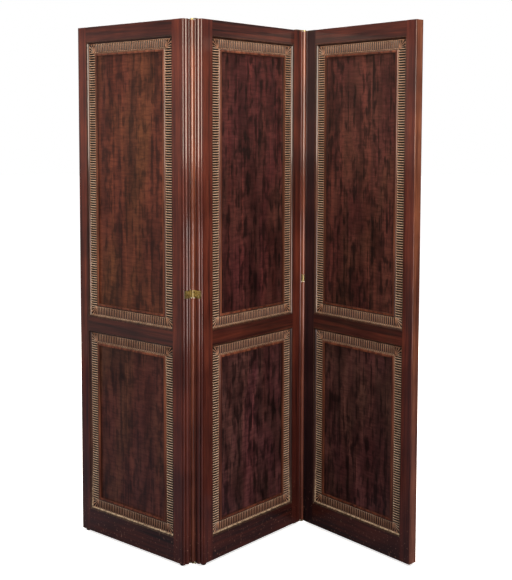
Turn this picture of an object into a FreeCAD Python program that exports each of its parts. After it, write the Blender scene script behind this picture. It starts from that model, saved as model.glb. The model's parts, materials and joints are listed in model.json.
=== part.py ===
import FreeCAD, Part
import math
import os
import Sketcher

# Three-leaf folding screen in mahogany, lengths in millimetres.
# The leaves stand in a zig-zag: X runs to the right, Y away from the viewer, Z up.

os.makedirs("parts", exist_ok=True)
doc = FreeCAD.newDocument("folding_screen")
sheet = doc.addObject("Spreadsheet::Sheet", "Sizes")
row_count = 0
nodes = {}


# A number together with the spreadsheet expression that drives it
class Size:
    def __init__(self, value, text):
        self.value = float(value)
        self.text = text

    def __add__(self, other):
        other = as_size(other)
        return Size(self.value + other.value, "(" + self.text + " + " + other.text + ")")

    def __sub__(self, other):
        other = as_size(other)
        return Size(self.value - other.value, "(" + self.text + " - " + other.text + ")")

    def __mul__(self, other):
        other = as_size(other)
        return Size(self.value * other.value, "(" + self.text + " * " + other.text + ")")

    def __truediv__(self, other):
        other = as_size(other)
        return Size(self.value / other.value, "(" + self.text + " / " + other.text + ")")

    def __radd__(self, other):
        return as_size(other) + self

    def __rsub__(self, other):
        return as_size(other) - self

    def __rmul__(self, other):
        return as_size(other) * self

    def __neg__(self):
        return as_size(0) - self


def as_size(number):
    if isinstance(number, Size):
        return number
    return Size(number, repr(float(number)))


def root(amount):
    return Size(math.sqrt(amount.value), "sqrt(" + amount.text + ")")


# One driving dimension in the sheet
def size(name, value):
    global row_count
    row_count += 1
    cell = "B" + str(row_count)
    sheet.set("A" + str(row_count), name)
    sheet.set(cell, str(value))
    sheet.setAlias(cell, name)
    return Size(value, "Sizes." + name)


# Leaf and frame
leaf_height = size("leaf_height", 1822)
leaf_thick = size("leaf_thick", 36)
opening_width = size("opening_width", 420)
plain_stile = size("plain_stile", 42)
top_rail = size("top_rail", 52)
middle_rail = size("middle_rail", 50)
bottom_rail = size("bottom_rail", 81)
lower_opening = size("lower_opening", 660)
free_round = size("free_round", 3)

# Reeded hinge edge: a return bead at each face, with a quirk on the face beside it, and a larger
# reed between two quirks
bead_radius = size("bead_radius", 4)
quirk = size("quirk", 2)
face_quirk = size("face_quirk", 1.2)

# Joinery
tenon_length = size("tenon_length", 30)
tenon_shoulder = size("tenon_shoulder", 10)
groove_depth = size("groove_depth", 10)
joint_play = size("joint_play", 0.1)

# Panels
panel_thick = size("panel_thick", 12)
panel_recess = size("panel_recess", 12)
panel_gap = size("panel_gap", 1.5)

# Panel moulding section
mould_fillet = size("mould_fillet", 2)
mould_sink = size("mould_sink", 0.8)
mould_step = size("mould_step", 0.9)
mould_ovolo = size("mould_ovolo", 6.5)
ovolo_radius = size("ovolo_radius", 9.2)
flute_band = size("flute_band", 30.5)
mould_quirk = size("mould_quirk", 1)
quirk_drop = size("quirk_drop", 1.8)
inner_round = size("inner_round", 7.5)
inner_rise = size("inner_rise", 5)
inner_radius = size("inner_radius", 6.6)
inner_fillet = size("inner_fillet", 2.5)

# Glide feet
foot_height = size("foot_height", 8)
foot_radius = size("foot_radius", 10)
foot_taper = size("foot_taper", 2)
foot_inset = size("foot_inset", 20)
foot_depth = size("foot_depth", 13)

# Hinge line: how far it stands off a leaf's end and off its face
pivot_end = size("pivot_end", 5)
pivot_face = size("pivot_face", 2)

# Butt hinge at mid height
hinge_height = size("hinge_height", 26)
hinge_level = size("hinge_level", 905)
plate_thick = size("plate_thick", 3)
plate_sink = size("plate_sink", 0.5)
plate_margin = size("plate_margin", 3)
barrel_radius = size("barrel_radius", 4)
knuckle_gap = size("knuckle_gap", 0.4)
pin_radius = size("pin_radius", 1.6)
pin_end = size("pin_end", 0.6)
running_fit = size("running_fit", 0.05)

# Pivot blades on the leaf ends
blade_thick = size("blade_thick", 2.5)
blade_length = size("blade_length", 38)
blade_width = size("blade_width", 9)
blade_inset = size("blade_inset", 1)
blade_gap = size("blade_gap", 0.5)
eye_radius = size("eye_radius", 5.5)
pivot_radius = size("pivot_radius", 2)

# Cover bead that closes the slit along each hinge line
cover_play = size("cover_play", 0.32)
cover_web = size("cover_web", 4.5)
cover_clear = size("cover_clear", 1.5)

# Standing angles of the leaves to the viewing plane, in degrees
left_angle = size("left_angle", 41.2)
middle_angle = size("middle_angle", 45.7)
right_angle = size("right_angle", 50.7)

# Tied sizes
upper_opening = leaf_height - top_rail - middle_rail - bottom_rail - lower_opening
hinged_stile = plain_stile + bead_radius * 2
reed_radius = (leaf_thick - bead_radius * 4 - quirk * 2) / 2
bead_half = bead_radius / 2
bead_return = root(bead_radius * bead_radius - bead_half * bead_half)
outer_width = plain_stile + opening_width + hinged_stile
middle_width = hinged_stile + opening_width + hinged_stile
groove_front = panel_recess - joint_play
groove_back = panel_recess + panel_thick + joint_play
band_start = mould_fillet + mould_ovolo
band_end = band_start + flute_band
round_start = band_end + mould_quirk
round_end = round_start + inner_round
mould_width = round_end + inner_fillet
band_rise = panel_recess - mould_sink - mould_step - mould_ovolo
quirk_rise = band_rise - quirk_drop
crest_rise = quirk_rise + inner_rise
pivot_depth = leaf_thick + pivot_face
knuckle = (hinge_height - knuckle_gap * 2) / 3
middle_level = bottom_rail + lower_opening
upper_level = middle_level + middle_rail
top_level = leaf_height - top_rail
blade_sunk = blade_thick + blade_gap
bead_along = pivot_end + bead_radius
bead_across = pivot_face + bead_radius
cover_radius = root(bead_along * bead_along + bead_across * bead_across) - bead_radius - cover_play
zero = as_size(0)


def vector(x, y, z):
    return FreeCAD.Vector(as_size(x).value, as_size(y).value, as_size(z).value)


def new_body(name):
    body = doc.addObject("PartDesign::Body", name)
    body.Label = name
    return body


# Drive one property of a feature from the sheet
def drive(feature, name, amount):
    amount = as_size(amount)
    feature.setExpression(name, amount.text)


def put(feature, x, y, z):
    feature.Placement = FreeCAD.Placement(vector(x, y, z), FreeCAD.Rotation())
    drive(feature, ".Placement.Base.x", x)
    drive(feature, ".Placement.Base.y", y)
    drive(feature, ".Placement.Base.z", z)


def ordered(one, two):
    one = as_size(one)
    two = as_size(two)
    if one.value <= two.value:
        return one, two
    return two, one


# A block between two opposite corners, added or cut away
def block(body, name, x, y, z, cut=False):
    kind = "PartDesign::SubtractiveBox" if cut else "PartDesign::AdditiveBox"
    feature = body.newObject(kind, name)
    x0, x1 = ordered(*x)
    y0, y1 = ordered(*y)
    z0, z1 = ordered(*z)
    drive(feature, "Length", x1 - x0)
    drive(feature, "Width", y1 - y0)
    drive(feature, "Height", z1 - z0)
    put(feature, x0, y0, z0)
    return feature


# An upright round rod, added or cut away
def rod(body, name, x, y, z, radius, cut=False):
    kind = "PartDesign::SubtractiveCylinder" if cut else "PartDesign::AdditiveCylinder"
    feature = body.newObject(kind, name)
    z0, z1 = ordered(*z)
    drive(feature, "Radius", radius)
    drive(feature, "Height", z1 - z0)
    put(feature, x, y, z0)
    return feature


# A closed sketch through the given corners; a corner with a radius starts an arc to the next one
def outline(body, name, role, corners):
    sketch = body.newObject("Sketcher::SketchObject", name)
    for plane in body.Origin.OriginFeatures:
        if plane.Role == role:
            sketch.AttachmentSupport = (plane, [""])
    sketch.MapMode = "FlatFace"
    points = []
    for corner in corners:
        points.append((as_size(corner[0]), as_size(corner[1])))
    count = len(points)
    up = FreeCAD.Vector(0, 0, 1)
    starts = []
    ends = []
    radii = []
    for index in range(count):
        first = points[index]
        last = points[(index + 1) % count]
        start = FreeCAD.Vector(first[0].value, first[1].value, 0)
        end = FreeCAD.Vector(last[0].value, last[1].value, 0)
        bend = corners[index][len(first):]
        if not bend:
            sketch.addGeometry(Part.LineSegment(start, end), False)
            starts.append(1)
            ends.append(2)
            radii.append(None)
            continue
        curve, turn = bend
        radii.append(curve)
        radius = curve.value
        chord = end - start
        side = up.cross(chord)
        side.normalize()
        reach = math.sqrt(max(radius * radius - chord.Length * chord.Length / 4, 0))
        centre = (start + end) * 0.5 + side * (reach * turn)
        begin, finish = (start, end) if turn > 0 else (end, start)
        angle0 = math.atan2(begin.y - centre.y, begin.x - centre.x)
        angle1 = math.atan2(finish.y - centre.y, finish.x - centre.x)
        if angle1 <= angle0:
            angle1 += 2 * math.pi
        circle = Part.Circle(centre, up, radius)
        sketch.addGeometry(Part.ArcOfCircle(circle, angle0, angle1), False)
        starts.append(1 if turn > 0 else 2)
        ends.append(2 if turn > 0 else 1)
    for index in range(count):
        before = (index - 1) % count
        joint = (before, ends[before], index, starts[index])
        sketch.addConstraint(Sketcher.Constraint("Coincident", *joint))
    for index in range(count):
        for axis, kind, line in ((0, "DistanceX", -2), (1, "DistanceY", -1)):
            amount = points[index][axis]
            spot = (index, starts[index])
            if abs(amount.value) < 1e-9:
                sketch.addConstraint(Sketcher.Constraint("PointOnObject", *spot, line))
                continue
            rule = Sketcher.Constraint(kind, -1, 1, *spot, amount.value)
            number = sketch.addConstraint(rule)
            drive(sketch, "Constraints[" + str(number) + "]", amount)
        if radii[index]:
            rule = Sketcher.Constraint("Radius", index, radii[index].value)
            number = sketch.addConstraint(rule)
            drive(sketch, "Constraints[" + str(number) + "]", radii[index])
    return sketch


def pad(body, name, sketch, length):
    feature = body.newObject("PartDesign::Pad", name)
    feature.Profile = sketch
    drive(feature, "Length", length)
    sketch.Visibility = False
    return feature


# Where the three leaves and the two hinge lines stand in plan
def turned(angle):
    return FreeCAD.Rotation(FreeCAD.Vector(0, 0, 1), angle)


left_rotation = turned(-left_angle.value)
middle_rotation = turned(middle_angle.value)
right_rotation = turned(-right_angle.value)
left_line = FreeCAD.Vector(0, 0, 0)
left_base = left_line - left_rotation.multVec(vector(outer_width + pivot_end, pivot_depth, 0))
middle_base = left_line - middle_rotation.multVec(vector(-pivot_end, pivot_depth, 0))
right_line = middle_base + middle_rotation.multVec(vector(middle_width + pivot_end, -pivot_face, 0))
right_base = right_line - right_rotation.multVec(vector(-pivot_end, -pivot_face, 0))
leaf_places = {
    "left": FreeCAD.Placement(left_base, left_rotation),
    "middle": FreeCAD.Placement(middle_base, middle_rotation),
    "right": FreeCAD.Placement(right_base, right_rotation),
}


# A finished node and its place inside its leaf
def keep(name, thing, leaf, local):
    nodes[name] = (thing, leaf, local)


def shifted(x, y, z):
    return FreeCAD.Placement(vector(x, y, z), FreeCAD.Rotation())


# Stile: inner edge on x = 0, growing to the right (side 1) or to the left (side -1)
def stile(name, side, hinged):
    body = new_body(name)
    inner = [
        (zero, leaf_thick),
        (zero, groove_back),
        (groove_depth * side, groove_back),
        (groove_depth * side, groove_front),
        (zero, groove_front),
        (zero, zero),
    ]
    if hinged:
        core = (hinged_stile - bead_radius) * side
        bead_foot = (hinged_stile - bead_radius - bead_return) * side
        quirk_wall = (hinged_stile - bead_radius - bead_return - face_quirk) * side
        edge = hinged_stile * side
        tip = (hinged_stile - bead_radius + reed_radius) * side
        middle = leaf_thick / 2
        outer = [
            (quirk_wall, zero),
            (quirk_wall, bead_half),
            (bead_foot, bead_half, bead_radius, side),
            (edge, bead_radius, bead_radius, side),
            (core, bead_radius * 2),
            (core, middle - reed_radius, reed_radius, side),
            (tip, middle, reed_radius, side),
            (core, middle + reed_radius),
            (core, leaf_thick - bead_radius * 2, bead_radius, side),
            (edge, leaf_thick - bead_radius, bead_radius, side),
            (bead_foot, leaf_thick - bead_half),
            (quirk_wall, leaf_thick - bead_half),
            (quirk_wall, leaf_thick),
        ]
    else:
        edge = plain_stile * side
        start = (plain_stile - free_round) * side
        outer = [
            (start, zero, free_round, side),
            (edge, free_round),
            (edge, leaf_thick - free_round, free_round, side),
            (start, leaf_thick),
        ]
    section = outline(body, name + "_section", "XY_Plane", inner + outer)
    pad(body, name + "_length", section, leaf_height)
    mortise_y = (groove_front, groove_back)
    mortise_x = (zero, tenon_length * side)
    levels = [
        ("bottom", zero, middle_level - lower_opening),
        ("middle", middle_level, upper_level),
        ("top", top_level, leaf_height),
    ]
    for word, low, high in levels:
        mortise_z = (low + tenon_shoulder - joint_play, high - tenon_shoulder + joint_play)
        block(body, name + "_mortise_" + word, mortise_x, mortise_y, mortise_z, True)
    return body


# Depth in the leaf, counted from the face away from the hinge line or mirrored to the other face
def depth(amount, face):
    if face > 0:
        return as_size(amount)
    return leaf_thick - amount


# Seat for the butt hinge plate and, on an outer leaf, for the two sunk pivot blades
def hinge_seats(body, name, side, face, sunk):
    seat_x = ((hinged_stile - plate_sink) * side, (hinged_stile + reed_radius) * side)
    seat_z = (hinge_level - joint_play, hinge_level + hinge_height + joint_play)
    block(body, name + "_hinge_seat", seat_x, (-quirk, leaf_thick + quirk), seat_z, True)
    if not sunk:
        return
    start = hinged_stile - blade_length - joint_play
    recess_x = (start * side, (hinged_stile + reed_radius) * side)
    near = leaf_thick - blade_inset - blade_width - joint_play
    far = leaf_thick - blade_inset + joint_play
    recess_y = (depth(near, face), depth(far, face))
    top_z = (leaf_height - blade_sunk, leaf_height + quirk)
    bottom_z = (-quirk, blade_sunk)
    block(body, name + "_top_recess", recess_x, recess_y, top_z, True)
    block(body, name + "_bottom_recess", recess_x, recess_y, bottom_z, True)


# Rail with stub tenons, haunches in the stile grooves and a panel groove on the edges that need one
def rail(name, height, groove_low, groove_high):
    body = new_body(name)
    corners = [(zero, zero)]
    if groove_low:
        corners.append((groove_front, zero))
        corners.append((groove_front, groove_depth))
        corners.append((groove_back, groove_depth))
        corners.append((groove_back, zero))
    corners.append((leaf_thick, zero))
    corners.append((leaf_thick, height))
    if groove_high:
        corners.append((groove_back, height))
        corners.append((groove_back, height - groove_depth))
        corners.append((groove_front, height - groove_depth))
        corners.append((groove_front, height))
    corners.append((zero, height))
    section = outline(body, name + "_section", "YZ_Plane", corners)
    pad(body, name + "_length", section, opening_width)
    tongue_y = (panel_recess, panel_recess + panel_thick)
    tenon = tenon_length - joint_play
    haunch = groove_depth - joint_play
    tenon_z = (tenon_shoulder, height - tenon_shoulder)
    low = groove_depth if groove_low else zero
    high = height - groove_depth if groove_high else height
    block(body, name + "_tenon_left", (-tenon, zero), tongue_y, tenon_z)
    block(body, name + "_tenon_right", (opening_width, opening_width + tenon), tongue_y, tenon_z)
    block(body, name + "_haunch_left", (-haunch, zero), tongue_y, (low, high))
    block(body, name + "_haunch_right", (opening_width, opening_width + haunch), tongue_y, (low, high))
    return body


# Panel that floats in the grooves
def panel(name, height):
    body = new_body(name)
    reach = groove_depth - panel_gap
    width = (-reach, opening_width + reach)
    thick = (panel_recess, panel_recess + panel_thick)
    block(body, name + "_board", width, thick, (-reach, height + reach))
    return body


# One mitred strip of panel moulding: fillet, ovolo, band for the flutes, quirk, and an inner
# quarter round that faces outward and drops square to the panel
def strip(name, length):
    body = new_body(name)
    rise = panel_recess - mould_sink
    corners = [
        (zero, zero),
        (zero, rise),
        (mould_fillet, rise),
        (mould_fillet, rise - mould_step, ovolo_radius, -1),
        (band_start, band_rise),
        (band_end, band_rise),
        (band_end, quirk_rise),
        (round_start, quirk_rise, inner_radius, -1),
        (round_end, crest_rise),
        (mould_width, crest_rise),
        (mould_width, zero),
    ]
    section = outline(body, name + "_section", "YZ_Plane", corners)
    pad(body, name + "_length", section, length)
    over = mould_quirk
    near = [
        (-over, -over),
        (mould_width + over, mould_width + over),
        (-over, mould_width + over),
    ]
    far = [
        (length + over, -over),
        (length + over, mould_width + over),
        (length - mould_width - over, mould_width + over),
    ]
    for word, corners in (("near", near), ("far", far)):
        mitre = outline(body, name + "_mitre_" + word, "XY_Plane", corners)
        cut = body.newObject("PartDesign::Pocket", name + "_mitre_cut_" + word)
        cut.Profile = mitre
        cut.Type = "ThroughAll"
        cut.Reversed = True
        mitre.Visibility = False
    return body


# Four strips round one opening, kept as four solids of one node
def moulding(name, height):
    front = FreeCAD.Vector(0, -1, 0)
    across = FreeCAD.Vector(1, 0, 0)
    up = FreeCAD.Vector(0, 0, 1)
    sides = [
        ("bottom", opening_width, (zero, zero), across, up),
        ("top", opening_width, (opening_width, height), across * -1, up * -1),
        ("left", height, (zero, height), up * -1, across),
        ("right", height, (opening_width, zero), up, across * -1),
    ]
    strips = []
    for word, length, corner, along, inward in sides:
        piece = strip(name + "_" + word, length)
        facing = FreeCAD.Rotation(along, inward, front, "XYZ")
        piece.Placement = FreeCAD.Placement(vector(corner[0], panel_recess, corner[1]), facing)
        strips.append(piece)
    group = doc.addObject("Part::Compound", name)
    group.Label = name
    group.Links = strips
    return group


# Turned glide that tapers to the floor
def foot(name):
    body = new_body(name)
    corners = [
        (zero, zero),
        (foot_radius - foot_taper, zero),
        (foot_radius, foot_height),
        (zero, foot_height),
    ]
    section = outline(body, name + "_section", "XZ_Plane", corners)
    turn = body.newObject("PartDesign::Revolution", name + "_turned")
    turn.Profile = section
    turn.ReferenceAxis = (section, ["V_Axis"])
    turn.Angle = 360
    section.Visibility = False
    return body


def feet(name, width, left_face, right_face):
    pair = []
    spots = [("left", foot_inset, left_face), ("right", width - foot_inset, right_face)]
    for word, x, face in spots:
        piece = foot(name + "_" + word)
        piece.Placement = shifted(x, depth(foot_depth, face), 0)
        pair.append(piece)
    group = doc.addObject("Part::Compound", name)
    group.Label = name
    group.Links = pair
    return group


# Butt hinge plate with its knuckles; the leaf's end is x = 0 and the plate grows outward
def hinge_plate(name, side, face, outer):
    body = new_body(name)
    sheet_x = (-plate_sink * side, (plate_thick - plate_sink) * side)
    sheet_y = (depth(plate_margin, face), depth(pivot_depth - knuckle_gap, face))
    block(body, name + "_plate", sheet_x, sheet_y, (zero, hinge_height))
    centre_x = pivot_end * side
    centre_y = depth(pivot_depth, face)
    clear = barrel_radius + knuckle_gap
    low = (zero, knuckle)
    middle = (knuckle + knuckle_gap, hinge_height - knuckle - knuckle_gap)
    high = (hinge_height - knuckle, hinge_height)
    gap_low = (-knuckle_gap, knuckle + knuckle_gap)
    gap_middle = (knuckle, hinge_height - knuckle)
    gap_high = (hinge_height - knuckle - knuckle_gap, hinge_height + knuckle_gap)
    own = [low, high] if outer else [middle]
    others = [gap_middle] if outer else [gap_low, gap_high]
    hole = pin_radius if outer else pin_radius + running_fit
    for number, span in enumerate(others):
        rod(body, name + "_relief_" + str(number), centre_x, centre_y, span, clear, True)
    for number, span in enumerate(own):
        rod(body, name + "_knuckle_" + str(number), centre_x, centre_y, span, barrel_radius)
    bore = (-knuckle_gap, hinge_height + knuckle_gap)
    rod(body, name + "_bore", centre_x, centre_y, bore, hole, True)
    return body


def hinge_pin(name, side, face):
    body = new_body(name)
    x = pivot_end * side
    y = depth(pivot_depth, face)
    rod(body, name + "_shank", x, y, (-pin_end, hinge_height + pin_end), pin_radius)
    return body


# Pivot blade on a leaf's end: a flat bar and an eye on the hinge line, with the pin or with its hole
def blade(name, side, face, way, outer):
    body = new_body(name)
    if outer:
        near = blade_gap
        far = blade_sunk
    else:
        near = zero
        far = -blade_thick
    level = (-near * way, -far * way)
    bar_x = (-blade_length * side, pivot_end * side)
    bar_y = (depth(leaf_thick - blade_inset - blade_width, face), depth(leaf_thick - blade_inset, face))
    x = pivot_end * side
    y = depth(pivot_depth, face)
    block(body, name + "_bar", bar_x, bar_y, level)
    rod(body, name + "_eye", x, y, level, eye_radius)
    if outer:
        rod(body, name + "_pin", x, y, (-blade_sunk * way, blade_sunk * way), pivot_radius)
    else:
        hole = (-quirk * way, (blade_thick + quirk) * way)
        rod(body, name + "_hole", x, y, hole, pivot_radius + running_fit, True)
    return body


# One length of cover bead: a round on the hinge line and the web that joins it to the leaf's end bead
def cover_length(name, side, face, low, high):
    body = new_body(name)
    web_y = (leaf_thick - bead_radius - quirk / 2, leaf_thick - bead_radius - quirk / 2 + cover_web)
    span = (low, high)
    block(body, name + "_web", (zero, pivot_end * side), (depth(web_y[0], face), depth(web_y[1], face)), span)
    rod(body, name + "_round", pivot_end * side, depth(pivot_depth, face), span, cover_radius)
    return body


# Cover bead below and above the butt hinge, clear of the hinge and of the pivot blades
def cover(name, side, face):
    start = blade_sunk + cover_clear
    below = hinge_level - pin_end - cover_clear
    above = hinge_level + hinge_height + pin_end + cover_clear
    end = leaf_height - blade_sunk - cover_clear
    lower = cover_length(name + "_lower", side, face, start, below)
    upper = cover_length(name + "_upper", side, face, above, end)
    group = doc.addObject("Part::Compound", name)
    group.Label = name
    group.Links = [lower, upper]
    return group


# The three leaves
leaves = [
    ("left", plain_stile, outer_width, False, True),
    ("middle", hinged_stile, middle_width, True, True),
    ("right", hinged_stile, outer_width, True, False),
]
for leaf, start, width, left_hinged, right_hinged in leaves:
    name = leaf + "_leaf_"
    floor = foot_height
    left_stile = stile(name + "left_stile", -1, left_hinged)
    right_stile = stile(name + "right_stile", 1, right_hinged)
    if leaf == "left":
        hinge_seats(right_stile, name + "right", 1, 1, True)
    if leaf == "middle":
        hinge_seats(left_stile, name + "left", -1, 1, False)
        hinge_seats(right_stile, name + "right", 1, -1, False)
    if leaf == "right":
        hinge_seats(left_stile, name + "left", -1, -1, True)
    keep(name + "left_stile", left_stile, leaf, shifted(start, 0, floor))
    keep(name + "right_stile", right_stile, leaf, shifted(start + opening_width, 0, floor))
    low = rail(name + "bottom_rail", bottom_rail, False, True)
    mid = rail(name + "middle_rail", middle_rail, True, True)
    high = rail(name + "top_rail", top_rail, True, False)
    keep(name + "bottom_rail", low, leaf, shifted(start, 0, floor))
    keep(name + "middle_rail", mid, leaf, shifted(start, 0, floor + middle_level))
    keep(name + "top_rail", high, leaf, shifted(start, 0, floor + top_level))
    for word, height, level in (("lower", lower_opening, bottom_rail), ("upper", upper_opening, upper_level)):
        spot = shifted(start, 0, floor + level)
        keep(name + word + "_panel", panel(name + word + "_panel", height), leaf, spot)
        keep(name + word + "_moulding", moulding(name + word + "_moulding", height), leaf, spot)
    left_face = -1 if leaf == "right" else 1
    right_face = -1 if leaf != "left" else 1
    pair = feet(name + "feet", width, left_face, right_face)
    keep(name + "feet", pair, leaf, shifted(0, 0, 0))

# The two folds: the left one closes back to back, the right one closes front to front
folds = [
    ("left", 1, 1, ("left", outer_width), ("middle", zero)),
    ("right", -1, -1, ("right", zero), ("middle", middle_width)),
]
for fold, side, face, outer, inner in folds:
    name = fold + "_fold_"
    level = foot_height + hinge_level
    top = foot_height + leaf_height
    outer_leaf, outer_end = outer
    inner_leaf, inner_end = inner
    keep(name + "outer_plate", hinge_plate(name + "outer_plate", side, face, True),
         outer_leaf, shifted(outer_end, 0, level))
    keep(name + "inner_plate", hinge_plate(name + "inner_plate", -side, face, False),
         inner_leaf, shifted(inner_end, 0, level))
    keep(name + "hinge_pin", hinge_pin(name + "hinge_pin", side, face),
         outer_leaf, shifted(outer_end, 0, level))
    keep(name + "cover_bead", cover(name + "cover_bead", -side, face),
         inner_leaf, shifted(inner_end, 0, foot_height))
    for word, way, height in (("top", 1, top), ("bottom", -1, foot_height)):
        keep(name + word + "_pin_blade", blade(name + word + "_pin_blade", side, face, way, True),
             outer_leaf, shifted(outer_end, 0, height))
        keep(name + word + "_eye_blade", blade(name + word + "_eye_blade", -side, face, way, False),
             inner_leaf, shifted(inner_end, 0, height))

doc.recompute()

# Stand every node in its leaf, then centre the whole screen over the origin
for name, (thing, leaf, local) in nodes.items():
    thing.Placement = leaf_places[leaf].multiply(local)
whole = FreeCAD.BoundBox()
for thing, leaf, local in nodes.values():
    whole.add(thing.Shape.optimalBoundingBox(False, False))
centre = FreeCAD.Vector((whole.XMin + whole.XMax) / 2, (whole.YMin + whole.YMax) / 2, whole.ZMin)
for thing, leaf, local in nodes.values():
    place = thing.Placement
    thing.Placement = FreeCAD.Placement(place.Base - centre, place.Rotation)

for thing in doc.Objects:
    if "Invalid" in thing.State or "Error" in thing.State:
        raise RuntimeError("feature failed: " + thing.Name)
for name, (thing, leaf, local) in nodes.items():
    if thing.Shape.isNull() or not thing.Shape.isValid():
        raise RuntimeError("bad shape: " + name)
    thing.Shape.exportStep("parts/" + name + ".step")

left_spot = left_line - centre
right_spot = right_line - centre
print("left hinge line", round(left_spot.x, 3), round(left_spot.y, 3))
print("right hinge line", round(right_spot.x, 3), round(right_spot.y, 3))
print("overall", round(whole.XLength, 2), round(whole.YLength, 2), round(whole.ZLength, 2))
print("nodes", len(nodes))
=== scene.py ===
import json
import math
import bmesh
import bpy
from mathutils import Matrix, Vector


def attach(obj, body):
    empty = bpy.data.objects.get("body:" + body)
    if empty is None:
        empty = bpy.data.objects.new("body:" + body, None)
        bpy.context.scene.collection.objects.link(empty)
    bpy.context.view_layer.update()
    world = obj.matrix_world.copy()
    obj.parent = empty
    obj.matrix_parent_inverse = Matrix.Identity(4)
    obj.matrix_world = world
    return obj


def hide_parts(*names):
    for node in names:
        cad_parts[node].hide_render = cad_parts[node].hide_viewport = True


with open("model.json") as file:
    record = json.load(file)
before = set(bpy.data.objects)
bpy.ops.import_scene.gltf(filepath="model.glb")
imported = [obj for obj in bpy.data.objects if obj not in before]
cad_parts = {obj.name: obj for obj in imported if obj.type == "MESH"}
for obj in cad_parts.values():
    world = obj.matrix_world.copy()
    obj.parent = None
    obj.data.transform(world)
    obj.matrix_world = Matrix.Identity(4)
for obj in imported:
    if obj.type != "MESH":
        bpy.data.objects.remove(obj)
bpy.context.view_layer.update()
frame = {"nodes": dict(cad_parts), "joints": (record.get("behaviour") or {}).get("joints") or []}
bpy.ops.object.select_all(action="DESELECT")
print("frame loaded,", len(frame["nodes"]), "nodes")

# three mahogany leaves in a zig-zag; lengths are millimetres until mm() turns them to metres
leafSizes = {"height": 1822, "thick": 36, "foot": 8, "opening": 420, "pivotEnd": 5, "pivotFace": 2}
leafTurns = {"left": -41.2, "middle": 45.7, "right": -50.7}  # degrees round the upright
leafStarts = {"left": 42, "middle": 50, "right": 50}  # left edge of the openings
leafWidths = {"left": 512, "middle": 520, "right": 512}
railSizes = {"bottom": (0, 81, 0.7), "middle": (741, 791, 0.5), "top": (1770, 1822, 0.7)}  # edges, arris
openingSpans = {
    "lower": (railSizes["bottom"][1], railSizes["middle"][0]),
    "upper": (railSizes["middle"][1], railSizes["top"][0]),
}
# hinged ends of each leaf: its edge, the way out, the hinge line's side (1 behind, -1 in front), its blade
hingedEnds = {
    "left": [(leafWidths["left"], 1, 1, "pin")],
    "middle": [(0, -1, 1, "eye"), (leafWidths["middle"], 1, -1, "eye")],
    "right": [(0, -1, -1, "pin")],
}


def mm(*values):
    return tuple(value * 0.001 for value in values)


# where each leaf stands: its corner follows from the hinge line that it turns on
hingeLines = {}
for joint in frame["joints"]:
    hingeLines[joint["name"]] = Vector((joint["pos_m"][0], joint["pos_m"][1], 0))
backLine = leafSizes["thick"] + leafSizes["pivotFace"]
frontLine = -leafSizes["pivotFace"]
leafHolds = {
    "left": ("left_fold", leafWidths["left"] + leafSizes["pivotEnd"], backLine),
    "middle": ("left_fold", -leafSizes["pivotEnd"], backLine),
    "right": ("right_fold", -leafSizes["pivotEnd"], frontLine),
}
leafPlaces = {}
for leaf, (line, x, y) in leafHolds.items():
    turn = Matrix.Rotation(math.radians(leafTurns[leaf]), 4, "Z")
    leafPlaces[leaf] = Matrix.Translation(hingeLines[line] - turn @ Vector(mm(x, y, 0))) @ turn


# modelling helpers, used as by hand: one piece selected, edit mode, pick, operate
def onlySelect(*pieces):
    if bpy.context.object and bpy.context.object.mode != "OBJECT":
        bpy.ops.object.mode_set(mode="OBJECT")
    bpy.ops.object.select_all(action="DESELECT")
    for piece in pieces:
        piece.select_set(True)
    if pieces:
        bpy.context.view_layer.objects.active = pieces[0]


def startEdit(piece):
    onlySelect(piece)
    bpy.ops.object.mode_set(mode="EDIT")
    bpy.ops.mesh.select_all(action="SELECT")


def endEdit():
    bpy.ops.object.mode_set(mode="OBJECT")


def pick(piece, kind, test):
    bpy.ops.mesh.select_mode(type=kind)
    bpy.ops.mesh.select_all(action="DESELECT")
    shape = bmesh.from_edit_mesh(piece.data)
    items = {"VERT": shape.verts, "EDGE": shape.edges, "FACE": shape.faces}[kind]
    for item in items:
        if test(item):
            item.select_set(True)
    bmesh.update_edit_mesh(piece.data)


def near(value, goal, room=0.02):  # a place in metres against a size in millimetres
    return abs(value * 1000 - goal) < room


def runsAlong(edge, axis, length=100):  # whether an edge goes far along x or z
    first, last = edge.verts
    return abs(getattr(first.co, axis) - getattr(last.co, axis)) * 1000 > length


def setName(piece, name):
    piece.name = name
    piece.data.name = name
    return piece


def settle(piece):
    onlySelect(piece)
    bpy.ops.object.transform_apply(location=True, rotation=True, scale=True)
    return piece


def moveTo(piece, place):
    piece.matrix_world = place @ piece.matrix_world
    return settle(piece)


def addBox(name, x, y, z):
    onlySelect()
    middle = mm((x[0] + x[1]) / 2, (y[0] + y[1]) / 2, (z[0] + z[1]) / 2)
    bpy.ops.mesh.primitive_cube_add(size=1, location=middle)
    piece = setName(bpy.context.object, name)
    piece.scale = mm(abs(x[1] - x[0]), abs(y[1] - y[0]), abs(z[1] - z[0]))
    return settle(piece)


def addSheet(name, x, y, z):  # a flat sheet that faces the viewer's side, -Y
    onlySelect()
    middle = mm((x[0] + x[1]) / 2, y, (z[0] + z[1]) / 2)
    bpy.ops.mesh.primitive_plane_add(size=1, location=middle, rotation=(math.pi / 2, 0, 0))
    piece = setName(bpy.context.object, name)
    piece.scale = mm(x[1] - x[0], z[1] - z[0], 1000)
    return settle(piece)


def addRound(name, x, y, radius, z, sides):  # an upright round bar
    onlySelect()
    bpy.ops.mesh.primitive_cylinder_add(vertices=sides, radius=radius * 0.001, depth=(z[1] - z[0]) * 0.001,
                                        location=mm(x, y, (z[0] + z[1]) / 2))
    return settle(setName(bpy.context.object, name))


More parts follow.
